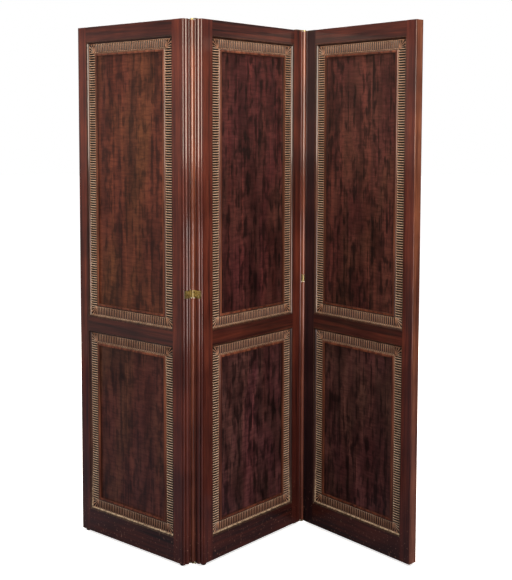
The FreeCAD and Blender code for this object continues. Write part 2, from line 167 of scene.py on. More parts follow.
def useModifier(piece, kind, **settings):
    onlySelect(piece)
    modifier = piece.modifiers.new(kind.lower(), kind)
    for name, value in settings.items():
        setattr(modifier, name, value)
    bpy.ops.object.modifier_apply(modifier=modifier.name)


def combine(piece, other, operation):
    useModifier(piece, "BOOLEAN", operation=operation, solver="EXACT", object=other)
    bpy.data.objects.remove(other)


def cutBox(piece, x, y, z):
    combine(piece, addBox("cutter", sorted(x), sorted(y), sorted(z)), "DIFFERENCE")


def bevelEdges(piece, size, steps, test):
    pick(piece, "EDGE", test)
    bpy.ops.mesh.bevel(offset=size * 0.001, segments=steps, affect="EDGES")


def smooth(piece, degrees):  # weighted, so that a wide flat face isn't shaded round towards its eased edges
    onlySelect(piece)
    bpy.ops.object.shade_smooth_by_angle(angle=math.radians(degrees))
    useModifier(piece, "WEIGHTED_NORMAL", keep_sharp=True, weight=90)


def copyPiece(piece, name):
    onlySelect(piece)
    bpy.ops.object.duplicate(linked=False)
    return setName(bpy.context.object, name)


def joinPieces(name, pieces):
    onlySelect(*pieces)
    bpy.ops.object.join()
    return setName(bpy.context.object, name)


def dress(piece, *materials):
    piece.data.materials.clear()
    for material in materials:
        piece.data.materials.append(material)


def paintFaces(piece, index, test):
    startEdit(piece)
    pick(piece, "FACE", test)
    piece.active_material_index = index
    bpy.ops.object.material_slot_assign()
    endEdit()


def finishPiece(piece, leaf, slot, *nodes):
    moveTo(piece, leafPlaces[leaf])
    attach(piece, leaf + "_leaf")
    if nodes:
        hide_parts(*nodes)


# materials
def toLinear(code):
    channels = [int(code[index:index + 2], 16) / 255 for index in (1, 3, 5)]
    linear = [c / 12.92 if c <= 0.04045 else ((c + 0.055) / 1.055) ** 2.4 for c in channels]
    return (*linear, 1)


# inputs go by name or number; a Mix of colours has its share at 0, the colours at 6 and 7, the result at 2
def addNode(tree, kind, settings, values, links):
    node = tree.nodes.new(kind)
    for name, value in settings.items():
        if name == "stops":
            ramp = node.color_ramp
            for place, code in value[2:]:
                ramp.elements.new(place)
            for element, (place, code) in zip(ramp.elements, sorted(value)):
                element.position = place
                element.color = toLinear(code)
        else:
            setattr(node, name, value)
    for name, value in values.items():
        node.inputs[name].default_value = value
    for name, source in links.items():
        tree.links.new(source, node.inputs[name])
    return node.outputs


def newMaterial(name):
    material = bpy.data.materials.new(name)
    material.use_nodes = True
    tree = material.node_tree
    place = addNode(tree, "ShaderNodeTexCoord", {}, {}, {})["Object"]
    return material, tree, place


def setSurface(tree, links, values):
    surface = tree.nodes["Principled BSDF"]
    for name, source in links.items():
        tree.links.new(source, surface.inputs[name])
    for name, value in values.items():
        surface.inputs[name].default_value = value
    return surface


# each layer darkens the wood by a pattern: its tones at a low and a high value, and its share
def tintWood(tree, wood, layers):
    for pattern, low, high, share in layers:
        shade = addNode(tree, "ShaderNodeValToRGB", {"stops": [low, high]}, {}, {"Fac": pattern})["Color"]
        wood = addNode(tree, "ShaderNodeMix", {"data_type": "RGBA", "blend_type": "MULTIPLY"}, {0: share},
                       {6: wood, 7: shade})[2]
    return wood


# slopes that face up take a painted highlight, paler where they also wear, and those that face down take
# painted shade
def paintSlopeLight(tree, wood, pale, dark, wearAndHighlight):
    facing = addNode(tree, "ShaderNodeAttribute", {"attribute_name": "upTurn"}, {}, {})["Fac"]
    for code, start, end, worn in ((pale, 0.3, 0.7, True), (dark, -0.05, -0.5, False)):
        share = addNode(tree, "ShaderNodeMapRange", {}, {"From Min": start, "From Max": end, "To Max": 0.9},
                        {"Value": facing})[0]
        if worn:
            share = addNode(tree, "ShaderNodeMath", {"operation": "MULTIPLY"}, {}, {0: share, 1: wearAndHighlight})[0]
        wood = addNode(tree, "ShaderNodeMix", {"data_type": "RGBA"}, {7: toLinear(code)},
                       {0: share, 6: wood})[2]
    return wood


# French polished mahogany with straight grain: deep red brown, streaks along the length, wet gloss
def polishedMahogany(name, turn, along, tones, gloss=1, wearWaxAndShade=False, floorShadeTone="#d6d6de"):
    material, tree, place = newMaterial(name)
    level = addNode(tree, "ShaderNodeMapping", {}, {"Rotation": (0, 0, math.radians(-turn))},
                    {"Vector": place})[0]
    streak = (1.8, 75, 75) if along == "x" else (75, 75, 1.8)  # streaks 13 mm wide, 550 mm long
    pore = (14, 420, 420) if along == "x" else (420, 420, 14)  # drawn 2 mm wide, finer ones don't show
    wide = addNode(tree, "ShaderNodeMapping", {}, {"Scale": streak}, {"Vector": level})[0]
    fine = addNode(tree, "ShaderNodeMapping", {}, {"Scale": pore}, {"Vector": level})[0]
    bands = addNode(tree, "ShaderNodeTexNoise", {},
                    {"Scale": 1, "Detail": 5, "Roughness": 0.6, "Distortion": 0.4}, {"Vector": wide})["Fac"]
    pores = addNode(tree, "ShaderNodeTexNoise", {}, {"Scale": 1, "Detail": 2}, {"Vector": fine})["Fac"]
    cloud = addNode(tree, "ShaderNodeTexNoise", {}, {"Scale": 7, "Detail": 2},
                    {"Vector": place})["Fac"]  # clouds of 140 mm
    wood = addNode(tree, "ShaderNodeValToRGB",
                   {"stops": [(0.34, tones[0]), (0.7, tones[2]), (0.48, tones[1])]}, {},
                   {"Fac": bands})["Color"]
    wood = tintWood(tree, wood, [
        (cloud, (0.35, "#a89496"), (0.65, "#fff4ea"), 0.7),
        (pores, (0.35, "#b49a90"), (0.6, "#ffffff"), 0.6),
    ])
    height = addNode(tree, "ShaderNodeSeparateXYZ", {}, {}, {"Vector": place})["Z"]
    floorShade = addNode(tree, "ShaderNodeMapRange", {}, {"From Min": 1.1, "From Max": 0.2}, {"Value": height})[0]
    wood = addNode(tree, "ShaderNodeMix", {"data_type": "RGBA", "blend_type": "MULTIPLY"},
                   {7: toLinear(floorShadeTone)}, {0: floorShade, 6: wood})[2]  # painted shade: the wood is darker and bluer towards the floor
    knocks = addNode(tree, "ShaderNodeTexNoise", {}, {"Scale": 130, "Detail": 3},
                     {"Vector": place})["Fac"]  # spots of 8 mm
    chips = addNode(tree, "ShaderNodeMapRange", {}, {"From Min": 0.63, "From Max": 0.7}, {"Value": knocks})[0]
    low = addNode(tree, "ShaderNodeMapRange", {}, {"From Min": 0.25, "From Max": 0.02, "To Max": 0.7},
                  {"Value": height})[0]
    share = addNode(tree, "ShaderNodeMath", {"operation": "MULTIPLY"}, {}, {0: chips, 1: low})[0]
    wood = addNode(tree, "ShaderNodeMix", {"data_type": "RGBA"}, {7: toLinear("#8d6657")},
                   {0: share, 6: wood})[2]  # pale knocks near the floor
    if wearWaxAndShade:  # wear is patchy and grows towards the floor, and it also scales the painted highlight on slopes that face up; slopes that face down take painted shade, and the quirks are darkened, partly old wax and partly painted shade
        reach = addNode(tree, "ShaderNodeMapRange", {},
                        {"From Min": 0.85, "From Max": 0.12, "To Min": 0.35, "To Max": 1},
                        {"Value": height})[0]
        patchy = addNode(tree, "ShaderNodeMapRange", {},
                         {"From Min": 0.42, "From Max": 0.58, "To Min": 0.35, "To Max": 1.2},
                         {"Value": knocks})[0]
        wearAndHighlight = addNode(tree, "ShaderNodeMath", {"operation": "MULTIPLY"}, {}, {0: reach, 1: patchy})[0]
        wood = paintSlopeLight(tree, wood, "#e6d0ac", "#1c0d0a", wearAndHighlight)
        # old wax and painted shade: the quirks, the trough and the step under the fillet are darkened
        wax = addNode(tree, "ShaderNodeAttribute", {"attribute_name": "oldWax"}, {}, {})["Fac"]
        wood = addNode(tree, "ShaderNodeMix", {"data_type": "RGBA"}, {7: toLinear("#0e0605")},
                       {0: wax, 6: wood})[2]
    rough = addNode(tree, "ShaderNodeMapRange", {}, {"To Min": 0.28, "To Max": 0.44}, {"Value": cloud})[0]
    bump = addNode(tree, "ShaderNodeBump", {}, {"Strength": 0.05, "Distance": 0.0006}, {"Height": pores})[0]
    setSurface(tree, {"Base Color": wood, "Roughness": rough, "Normal": bump},
               {"Specular IOR Level": 0.25, "Coat Weight": gloss, "Coat Roughness": 0.1})
    return material


# figured mahogany board, polished: dark dashes in upright rows, clouds, a cross ripple, a slow drift of hue
def figuredMahogany(name, tones, figure):
    material, tree, place = newMaterial(name)
    noises = {
        "cloud": ((16, 16, 5), {"Scale": 1, "Detail": 2, "Distortion": 0.6}),  # 60 x 200 mm
        "sap": ((16, 16, 5), {"Scale": 0.45, "Detail": 3, "Distortion": 0.5}),  # 140 x 440 mm
        "dash": ((58, 58, 21), {"Scale": 1, "Detail": 2, "Distortion": 0.35}),  # 17 x 48 mm
        "row": ((95, 95, 2.5), {"Scale": 1, "Detail": 2, "Distortion": 0.8}),  # 10 x 400 mm
        "streak": ((45, 45, 1.6), {"Scale": 1, "Detail": 4, "Distortion": 0.3}),  # 22 x 600 mm
        "ripple": ((22, 22, 130), {"Scale": 1, "Detail": 3, "Distortion": 0.6}),  # 45 x 8 mm
        "pores": ((420, 420, 18), {"Scale": 1, "Detail": 2}),  # drawn 2 mm wide, finer ones don't show
    }
    patterns = {}
    for word, (scale, noise) in noises.items():
        stretched = addNode(tree, "ShaderNodeMapping", {}, {"Scale": scale}, {"Vector": place})[0]
        patterns[word] = addNode(tree, "ShaderNodeTexNoise", {}, noise, {"Vector": stretched})["Fac"]
    mark = addNode(tree, "ShaderNodeMix", {}, {0: 0.45}, {2: patterns["dash"], 3: patterns["row"]})[0]
    wood = addNode(tree, "ShaderNodeValToRGB",
                   {"stops": [(0.3, tones[0]), (0.72, tones[2]), (0.5, tones[1])]}, {},
                   {"Fac": patterns["streak"]})["Color"]
    wood = tintWood(tree, wood, [
        (patterns["sap"], (0.38, "#f4fbdc"), (0.6, "#ffeae6"), 1),
        (patterns["cloud"], (0.36, "#9a8e94"), (0.6, "#ffffff"), 0.8),
        (mark, (0.41, "#463f46"), (0.52, "#ffffff"), figure),
        (patterns["ripple"], (0.38, "#9c9092"), (0.6, "#ffffff"), 0.5),
    ])
    rough = addNode(tree, "ShaderNodeMapRange", {}, {"To Min": 0.3, "To Max": 0.46},
                    {"Value": patterns["cloud"]})[0]
    bump = addNode(tree, "ShaderNodeBump", {}, {"Strength": 0.05, "Distance": 0.0006},
                   {"Height": patterns["pores"]})[0]
    setSurface(tree, {"Base Color": wood, "Roughness": rough, "Normal": bump},
               {"Specular IOR Level": 0.3, "Coat Weight": 0.3, "Coat Roughness": 0.16})
    return material


# carved flutes in mahogany: ribs paler, partly rubbed wear and partly painted highlight, and hollows dark,
# partly old wax and partly painted shade
def flutesWornAndShaded(name):
    material, tree, place = newMaterial(name)
    depth = addNode(tree, "ShaderNodeAttribute", {"attribute_name": "carveDepth"}, {}, {})["Fac"]
    hollow = addNode(tree, "ShaderNodeMapRange", {}, {"From Min": 8.1, "From Max": 10.4},
                     {"Value": depth})[0]  # from the ribs to the bottom of the flutes
    wood = addNode(tree, "ShaderNodeValToRGB",
                   {"stops": [(0.0, "#c3997b"), (1.0, "#0c0504"), (0.12, "#845844"), (0.32, "#22100c")]},
                   {}, {"Fac": hollow})["Color"]
    rim = addNode(tree, "ShaderNodeMapRange", {}, {"From Min": 0.66, "From Max": 0.25}, {"Value": hollow})[0]
    # painted highlight near the ribs on slopes that face up, painted shade on slopes that face down
    wood = paintSlopeLight(tree, wood, "#fbf0d8", "#0c0504", rim)
    patch = addNode(tree, "ShaderNodeTexNoise", {}, {"Scale": 30, "Detail": 3},
                    {"Vector": place})["Fac"]  # patches of 33 mm
    wood = tintWood(tree, wood, [(patch, (0.3, "#bfa898"), (0.7, "#ffffff"), 0.7)])
    setSurface(tree, {"Base Color": wood},
               {"Roughness": 0.35, "Specular IOR Level": 0.3, "Coat Weight": 0.2, "Coat Roughness": 0.12})
    return material


# cast brass, aged: dull gold with brown tarnish in patches of 6 mm
def agedBrass(name, dull, bright):
    material, tree, place = newMaterial(name)
    patch = addNode(tree, "ShaderNodeTexNoise", {}, {"Scale": 180, "Detail": 4}, {"Vector": place})["Fac"]
    tone = addNode(tree, "ShaderNodeValToRGB", {"stops": [(0.36, dull), (0.6, bright)]}, {},
                   {"Fac": patch})["Color"]
    rough = addNode(tree, "ShaderNodeMapRange", {}, {"To Min": 0.45, "To Max": 0.25}, {"Value": patch})[0]
    setSurface(tree, {"Base Color": tone, "Roughness": rough}, {"Metallic": 1})
    return material


# cast iron glide, blackened: nearly black, coarse sand-cast skin of 2 mm grains
def blackIron(name):
    material, tree, place = newMaterial(name)
    skin = addNode(tree, "ShaderNodeTexNoise", {}, {"Scale": 600, "Detail": 3}, {"Vector": place})["Fac"]
    tone = addNode(tree, "ShaderNodeValToRGB", {"stops": [(0.3, "#15110f"), (0.7, "#2d2623")]}, {},
                   {"Fac": skin})["Color"]
    bump = addNode(tree, "ShaderNodeBump", {}, {"Strength": 0.3, "Distance": 0.0003}, {"Height": skin})[0]
    setSurface(tree, {"Base Color": tone, "Normal": bump}, {"Metallic": 0.6, "Roughness": 0.6})
    return material


woodTones = {  # dark, middle and pale streaks
    "stile": ("#391b17", "#622f25", "#773c2b"),
    "edge": ("#563026", "#84533d", "#996850"),
    "dark": ("#241719", "#352124", "#48292a"),
    "mould": ("#2e1812", "#482a1e", "#66402e"),
    "round": ("#4a2922", "#6f4434", "#9a654c"),
    "cover": ("#5a3226", "#8c523c", "#a4674a"),
    "rail": ("#1f0f0e", "#4a241e", "#653224"),
}
panelTones = {  # the boards were cut from different flitches, and their tones also carry painted sheen and shade: the left leaf's boards are lighter for the sheen they catch from the left
    "left_upper": ("#5a342a", "#673b2d", "#764432"),
    "left_lower": ("#523330", "#5f3a33", "#6d4339"),
    "middle_upper": ("#452728", "#522d2e", "#623333"),
    "middle_lower": ("#4e3236", "#5c3a3f", "#6e4246"),
    "right_upper": ("#4d2d2a", "#5b3531", "#6d3e38"),
    "right_lower": ("#4e3435", "#5c3c3d", "#6e4646"),
}
panelFigures = {"left": 0.65, "middle": 0.85, "right": 0.85}  # strength of the dark dashes
stileWood = polishedMahogany("mahogany_stile_polished", 0, "z", woodTones["stile"])
edgeWood = polishedMahogany("mahogany_edge_worn", 0, "z", woodTones["edge"], 0.5)
# painted shade: a darker, duller copy of the stile wood for the stile that stands in the valley
valleyShadeWood = polishedMahogany("mahogany_dark_stile_polished", 0, "z", woodTones["dark"], 0.2)
# the moulding and its inner round take painted highlight and shade on their slopes and in their quirks
mouldWood = polishedMahogany("mahogany_moulding_polished", 0, "z", woodTones["mould"], 0.75, True)
# painted light: the inner round is paler than the moulding and hardly darker towards the floor, where the
# lamps leave it dim
roundLitWood = polishedMahogany("mahogany_round_worn", 0, "z", woodTones["round"], 0.4, True, "#fff4ee")
# painted light: the cover bead's tones are paler than the stiles', to brighten the fold low down, where the
# lamps leave it dim
coverWood = polishedMahogany("mahogany_cover_polished", 0, "z", woodTones["cover"])
railWoods = {}
for leaf, turn in leafTurns.items():
    railWoods[leaf] = polishedMahogany("mahogany_rail_polished_" + leaf, turn, "x", woodTones["rail"])
panelWoods = {}
for board, tones in panelTones.items():
    figure = panelFigures[board.split("_")[0]]
    panelWoods[board] = figuredMahogany("mahogany_figured_polished_" + board, tones, figure)
fluteWood = flutesWornAndShaded("mahogany_flutes_worn")
brass = agedBrass("brass_cast_aged", "#6b603e", "#c9bb8a")
screwBrass = agedBrass("brass_screw_worn_bright", "#a3946a", "#f0e7c4")
iron = blackIron("iron_glide_blackened")
print("materials made")

# stiles: on a hinged edge two return beads and a reed between them, rounded on a free one
stileSizes = {
    "plain": 42, "hinged": 50, "bead": 4, "reed": 8, "faceQuirk": 1.2, "freeRound": 3, "capArris": 0.35,
    "beadSides": 32, "reedSides": 48, "merge": 0.03, "crease": 40,
}
stileSpares = {"board": 5, "notch": 9, "bead": 4, "reed": 3}  # over-lengths that differ, so that no ends meet
seatSizes = {
    "level": 905, "height": 26, "sink": 0.5, "play": 0.1,
    "bladeDeep": 3, "bladeLong": 38, "bladeWide": 9, "bladeInset": 1,
}
cutRoom = {"open": 5, "pastReed": 12}  # how far a cutter stands out of the wood


def makeStile(name, inner, side, hinged):
    size = stileSizes
    thick = leafSizes["thick"]
    low = leafSizes["foot"]
    high = low + leafSizes["height"]
    bead = size["bead"]
    end = inner + (size["hinged"] - bead if hinged else size["plain"]) * side
    spans = {word: (low - spare, high + spare) for word, spare in stileSpares.items()}
    piece = addBox(name, sorted((inner, end)), (0, thick), spans["board"] if hinged else (low, high))
    if hinged:
        foot = end - (bead * math.sqrt(0.75) + size["faceQuirk"]) * side  # a bead's side at half its radius
        for y in ((-cutRoom["open"], bead / 2), (thick - bead / 2, thick + cutRoom["open"])):
            cutBox(piece, (foot, end + cutRoom["open"] * side), y, spans["notch"])
        rounds = ((bead, bead, "bead"), (thick - bead, bead, "bead"), (thick / 2, size["reed"], "reed"))
        for y, radius, word in rounds:
            combine(piece, addRound("rod", end, y, radius, spans[word], size[word + "Sides"]), "UNION")
        startEdit(piece)  # the ends are sawn off together
        bpy.ops.mesh.remove_doubles(threshold=size["merge"] * 0.001)
        for z, way in ((low, -1), (high, 1)):
            bpy.ops.mesh.select_all(action="SELECT")
            bpy.ops.mesh.bisect(plane_co=mm(0, 0, z), plane_no=(0, 0, way), use_fill=True, clear_outer=True)
        endEdit()

    def onFreeEnd(edge):
        return runsAlong(edge, "z") and near(edge.verts[0].co.x, end)

    def onCap(edge):
        first, last = edge.verts
        flat = near(first.co.z, last.co.z * 1000) and (near(first.co.z, low) or near(first.co.z, high))
        return flat and edge.calc_face_angle(0) > 0.5  # radians

    startEdit(piece)
    if not hinged:
        bevelEdges(piece, size["freeRound"], 5, onFreeEnd)
    bevelEdges(piece, size["capArris"], 2, onCap)
    endEdit()
    return piece


# seats: the butt plate is let into the edge; an outer leaf also has its pivot blades let in
def cutSeats(piece, end, side, face, sunk):
    size = seatSizes
    play = size["play"]
    thick = leafSizes["thick"]
    base = leafSizes["foot"]
    top = base + leafSizes["height"]
    level = base + size["level"]
    past = end + cutRoom["pastReed"] * side
    cutBox(piece, (end - size["sink"] * side, past), (-cutRoom["open"], thick + cutRoom["open"]),
           (level - play, level + size["height"] + play))
    if not sunk:
        return
    far = thick - size["bladeInset"] + play
    close = far - size["bladeWide"] - play * 2
    span = (close, far) if face > 0 else (thick - far, thick - close)
    reach = (end - (size["bladeLong"] + play) * side, past)
    cutBox(piece, reach, span, (top - size["bladeDeep"], top + cutRoom["open"]))
    cutBox(piece, reach, span, (base - cutRoom["open"], base + size["bladeDeep"]))


for leaf, start in leafStarts.items():
    for word, inner, side in (("left_stile", start, -1), ("right_stile", start + leafSizes["opening"], 1)):
        node = leaf + "_leaf_" + word
        hinges = [hinge for hinge in hingedEnds[leaf] if hinge[1] == side]
        stile = makeStile(node + "_wood", inner, side, bool(hinges))
        for end, way, face, blade in hinges:
            cutSeats(stile, end, way, face, blade == "pin")
        smooth(stile, stileSizes["crease"])
        if hinges:
            # painted shade: the right leaf's left stile stands in the valley, so it takes the darker copy
            dress(stile, valleyShadeWood if node == "right_leaf_left_stile" else stileWood)
        else:  # the free end's outer faces take a paler, less glossy polish
            dress(stile, stileWood, edgeWood)
            paintFaces(stile, 1, lambda face: face.normal.x * side > 0.5)
        finishPiece(stile, leaf, "mahogany_frame", node)
print("stiles made")


# rails: square boards between the stiles with eased edges
def makeRail(name, start, word):
    bottom, top, arris = railSizes[word]
    span = (leafSizes["foot"] + bottom, leafSizes["foot"] + top)
    piece = addBox(name, (start, start + leafSizes["opening"]), (0, leafSizes["thick"]), span)
    startEdit(piece)
    bevelEdges(piece, arris, 2, lambda edge: runsAlong(edge, "x"))
    endEdit()
    smooth(piece, stileSizes["crease"])
    return piece


for leaf, start in leafStarts.items():
    for word in railSizes:
        node = leaf + "_leaf_" + word + "_rail"
        rail = makeRail(node + "_wood", start, word)
        dress(rail, railWoods[leaf])
        finishPiece(rail, leaf, "mahogany_frame", node)
print("rails made")

# panel moulding: fillet, ovolo, trough that holds the fluted slips, quirk, inner quarter round
mouldSizes = {
    "fillet": 2, "sink": 0.8, "step": 0.9, "ovolo": 6.5, "ovoloRadius": 9.2, "band": 30.5,
    "quirk": 1, "quirkLevel": 10, "trough": 11.4, "round": 7.5, "crest": 5, "roundRadius": 6.6,
    "innerFillet": 2.5, "panel": 12, "arcSteps": 7, "wax": 0.85, "crease": 32,
}
fluteSizes = {
    "pitch": 8.5, "level": 8.2, "width": 5.6, "deep": 2.3, "margin": 0.8, "scoop": 1.7,
    "sides": 16, "rings": 7, "merge": 0.05, "crease": 50,
}
fanSizes = {"count": 5, "inner": 9, "outer": 29.4, "innerWidth": 2.2, "outerWidth": 7.4, "deep": 2.0}
bandStart = mouldSizes["fillet"] + mouldSizes["ovolo"]
bandEnd = bandStart + mouldSizes["band"]


def arcSteps(first, last, radius):  # points of a hollow-side-down arc in the section
    chord = last - first
    side = Vector((-chord.y, chord.x)).normalized()
    reach = math.sqrt(radius * radius - chord.length_squared / 4)
    centre = (first + last) / 2 + side * reach
    points = []
    for step in range(1, mouldSizes["arcSteps"] + 1):
        share = step / mouldSizes["arcSteps"]
        ray = first.lerp(last, share) - centre
        points.append(centre + ray.normalized() * radius)
    return points


def mouldSection():  # distance in from the opening's edge, depth behind the leaf's face
    size = mouldSizes
    section = [Vector((0, size["sink"])), Vector((size["fillet"], size["sink"]))]
    shoulder = Vector((size["fillet"], size["sink"] + size["step"]))
    section.append(shoulder)
    section += arcSteps(shoulder, Vector((bandStart, fluteSizes["level"])), size["ovoloRadius"])
    section.append(Vector((bandStart, size["trough"])))
    section.append(Vector((bandEnd, size["trough"])))
    section.append(Vector((bandEnd, size["quirkLevel"])))
    foot = Vector((bandEnd + size["quirk"], size["quirkLevel"]))
    section.append(foot)
    crown = Vector((foot.x + size["round"], size["crest"]))
    section += arcSteps(foot, crown, size["roundRadius"])
    section.append(Vector((crown.x + size["innerFillet"], size["crest"])))
    section.append(Vector((crown.x + size["innerFillet"], size["panel"])))
    return section


def closeUp():  # after the last faces are added, all point outwards
    bpy.ops.mesh.select_all(action="SELECT")
    bpy.ops.mesh.normals_make_consistent(inside=False)
    endEdit()


def makeRing(name, width, height):
    section = mouldSection()
    edge = section[0].y
    piece = addSheet(name, (0, width), edge, (0, height))
    startEdit(piece)
    for before, after in zip(section, section[1:]):
        step = after - before
        bpy.ops.mesh.inset(thickness=max(step.x, 0) * 0.001, depth=-step.y * 0.001, use_even_offset=True)
    bpy.ops.mesh.delete(type="ONLY_FACE")

    def onRim(item):
        return all(near(vert.co.y, edge) for vert in item.verts) and len(item.link_faces) == 1

    pick(piece, "EDGE", onRim)
    bpy.ops.mesh.extrude_region_move(TRANSFORM_OT_translate={"value": mm(0, mouldSizes["panel"] - edge, 0)})
    pick(piece, "EDGE", lambda item: len(item.link_faces) == 1)
    bpy.ops.mesh.bridge_edge_loops()
    closeUp()
    smooth(piece, mouldSizes["crease"])
    dress(piece, mouldWood, roundLitWood)

    def onRound(face):
        spot = face.calc_center_median() * 1000
        return bandEnd < spot.x < width - bandEnd and bandEnd < spot.z < height - bandEnd

    paintFaces(piece, 1, onRound)  # the inner round takes the paler round wood: partly rubbed wear, partly painted light
    return piece


def makeCutter(name, width, deep, length):  # round bar with domed ends, standing from z = 0
    size = fluteSizes
    radius = (width * width / 4 + deep * deep) / (2 * deep)
    ball = radius / math.cos(math.pi / (2 * size["rings"]))  # its two middle rings have the flute's radius
    onlySelect()
    bpy.ops.mesh.primitive_uv_sphere_add(segments=size["sides"], ring_count=size["rings"],
                                         radius=ball * 0.001)
    piece = settle(setName(bpy.context.object, name))
    startEdit(piece)
    bpy.ops.transform.resize(value=(1, 1, size["scoop"]))  # the gouge leaves long, shallow ends
    end = width / 2 * size["scoop"]
    pick(piece, "VERT", lambda vert: vert.co.z > 0)
    bpy.ops.transform.translate(value=mm(0, 0, length - end * 2))
    endEdit()
    return moveTo(piece, Matrix.Translation(mm(0, size["level"] + deep - radius, end)))


def makeSlip(name, length):  # one flute is cut, the tile is repeated, and the ends are closed
    size = fluteSizes
    count = round(length / size["pitch"])
    pitch = length / count
    band = mouldSizes["band"]
    piece = addBox(name, (0, pitch), (size["level"], mouldSizes["trough"]), (0, band))
    cutter = makeCutter("cutter", size["width"], size["deep"], band - size["margin"] * 2)
    moveTo(cutter, Matrix.Translation(mm(pitch / 2, 0, size["margin"])))
    combine(piece, cutter, "DIFFERENCE")

    def onJoint(face):
        x = face.calc_center_median().x
        return abs(face.normal.x) > 0.99 and (near(x, 0) or near(x, pitch))

    startEdit(piece)
    pick(piece, "FACE", onJoint)
    bpy.ops.mesh.delete(type="FACE")
    endEdit()
    useModifier(piece, "ARRAY", count=count, use_relative_offset=False, use_constant_offset=True,
                constant_offset_displace=mm(pitch, 0, 0), use_merge_vertices=True,
                merge_threshold=size["merge"] * 0.001)
    startEdit(piece)
    for x in (0, length):
        pick(piece, "EDGE", lambda edge: len(edge.link_faces) == 1
             and all(near(vert.co.x, x) for vert in edge.verts))
        bpy.ops.mesh.edge_face_add()
    closeUp()
    return piece


def makeCorner(name):  # flutes fan out from the inner corner of the band and widen on the way
    size = fanSizes
    span = (bandStart, bandEnd)
    share = size["innerWidth"] / size["outerWidth"]
    hub = Matrix.Translation(mm(bandEnd, 0, bandEnd))
    start = Matrix.Translation(mm(0, 0, size["inner"]))
    piece = addBox(name, span, (fluteSizes["level"], mouldSizes["trough"]), span)
    for number in range(size["count"]):
        angle = 90 * (number + 0.5) / size["count"]
        reach = size["outer"] / max(math.cos(math.radians(angle)), math.sin(math.radians(angle)))
        cutter = makeCutter("cutter", size["outerWidth"], size["deep"], reach - size["inner"])
        startEdit(cutter)
        pick(cutter, "VERT", lambda vert: vert.co.z * 1000 < size["outerWidth"])
        bpy.ops.transform.resize(value=(share, share, 1), center_override=mm(0, fluteSizes["level"], 0))
        endEdit()
        turn = Matrix.Rotation(math.radians(angle - 180), 4, "Y")
        combine(piece, moveTo(cutter, hub @ turn @ start), "DIFFERENCE")
    return piece


def markCarving(piece):  # each point's depth behind the leaf's face, the way it faces, and old wax with painted shade in the quirks
    size = mouldSizes
    waxShadeLevels = (size["sink"] + size["step"], size["quirkLevel"], size["trough"], size["panel"])
    marks = {"carveDepth": [], "upTurn": [], "oldWax": []}
    for vert in piece.data.vertices:
        marks["carveDepth"].append(vert.co.y * 1000)
        marks["upTurn"].append(vert.normal.z)
        marks["oldWax"].append(size["wax"] if any(near(vert.co.y, level) for level in waxShadeLevels) else 0)
    for name, values in marks.items():
        piece.data.attributes.new(name, "FLOAT", "POINT").data.foreach_set("value", values)


def makeMoulding(name, height):
    width = leafSizes["opening"]
    parts = [makeRing(name + "_ring", width, height)]
    slips = {}
    for length in (width, height):
        slips[length] = makeSlip(name + "_slip", length - bandEnd * 2)
    corner = makeCorner(name + "_corner")
    sides = [(width, 0, 0, 0), (width, width, height, 180), (height, 0, height, 90), (height, width, 0, -90)]
    for length, x, z, turn in sides:
        place = Matrix.Translation(mm(x, 0, z)) @ Matrix.Rotation(math.radians(turn), 4, "Y")
        slip = copyPiece(slips[length], name + "_side")
        moveTo(slip, place @ Matrix.Translation(mm(bandEnd, 0, bandStart)))
        block = moveTo(copyPiece(corner, name + "_block"), place)
        for part in (slip, block):
            smooth(part, fluteSizes["crease"])
            dress(part, fluteWood)
            parts.append(part)
    for part in (*slips.values(), corner):
        bpy.data.objects.remove(part)
    piece = joinPieces(name, parts)
    markCarving(piece)
    return piece


for word, span in openingSpans.items():
    master = makeMoulding(word + "_moulding", span[1] - span[0])
    for leaf, start in leafStarts.items():
        node = leaf + "_leaf_" + word + "_moulding"
        moulding = copyPiece(master, node + "_carved")
        moveTo(moulding, Matrix.Translation(mm(start, 0, leafSizes["foot"] + span[0])))
        finishPiece(moulding, leaf, "carved_moulding", node)
    bpy.data.objects.remove(master)
print("mouldings carved")

# glides: turned buttons with a rolled lower edge and a hollow under them
glideSizes = {
    "height": 8, "radius": 10, "taper": 2, "roll": 1.6, "hollow": 4, "slope": 0.8, "dish": 1.2,
    "rim": 7.5, "inset": 20, "depth": 13, "sides": 40, "crease": 35,
}
glideFaces = {"left": (1, 1), "middle": (1, -1), "right": (-1, -1)}  # 1 near the front, -1 near the back


def makeGlide(name):
    size = glideSizes
    piece = addRound(name, 0, 0, size["radius"], (0, size["height"]), size["sides"])
    startEdit(piece)
    pick(piece, "FACE", lambda face: face.normal.z < -0.9)
    shrink = 1 - size["taper"] / size["radius"]
    bpy.ops.transform.resize(value=(shrink, shrink, 1))
    bpy.ops.mesh.inset(thickness=size["hollow"] * 0.001, depth=0)
    bpy.ops.mesh.inset(thickness=size["slope"] * 0.001, depth=-size["dish"] * 0.001)

    def onRim(edge):
        return all(near(vert.co.z, 0) and vert.co.xy.length * 1000 > size["rim"] for vert in edge.verts)

    bevelEdges(piece, size["roll"], 4, onRim)
    endEdit()
    smooth(piece, size["crease"])
    return piece


glideMaster = makeGlide("glide")
for leaf, width in leafWidths.items():
    pair = []
    spots = (glideSizes["inset"], width - glideSizes["inset"])
    for x, face in zip(spots, glideFaces[leaf]):
        y = glideSizes["depth"] if face > 0 else leafSizes["thick"] - glideSizes["depth"]
        pair.append(moveTo(copyPiece(glideMaster, "glide_copy"), Matrix.Translation(mm(x, y, 0))))
    feet = joinPieces(leaf + "_leaf_feet_turned", pair)
    dress(feet, iron)
    finishPiece(feet, leaf, "glide_metal", leaf + "_leaf_feet")
bpy.data.objects.remove(glideMaster)
print("glides made")

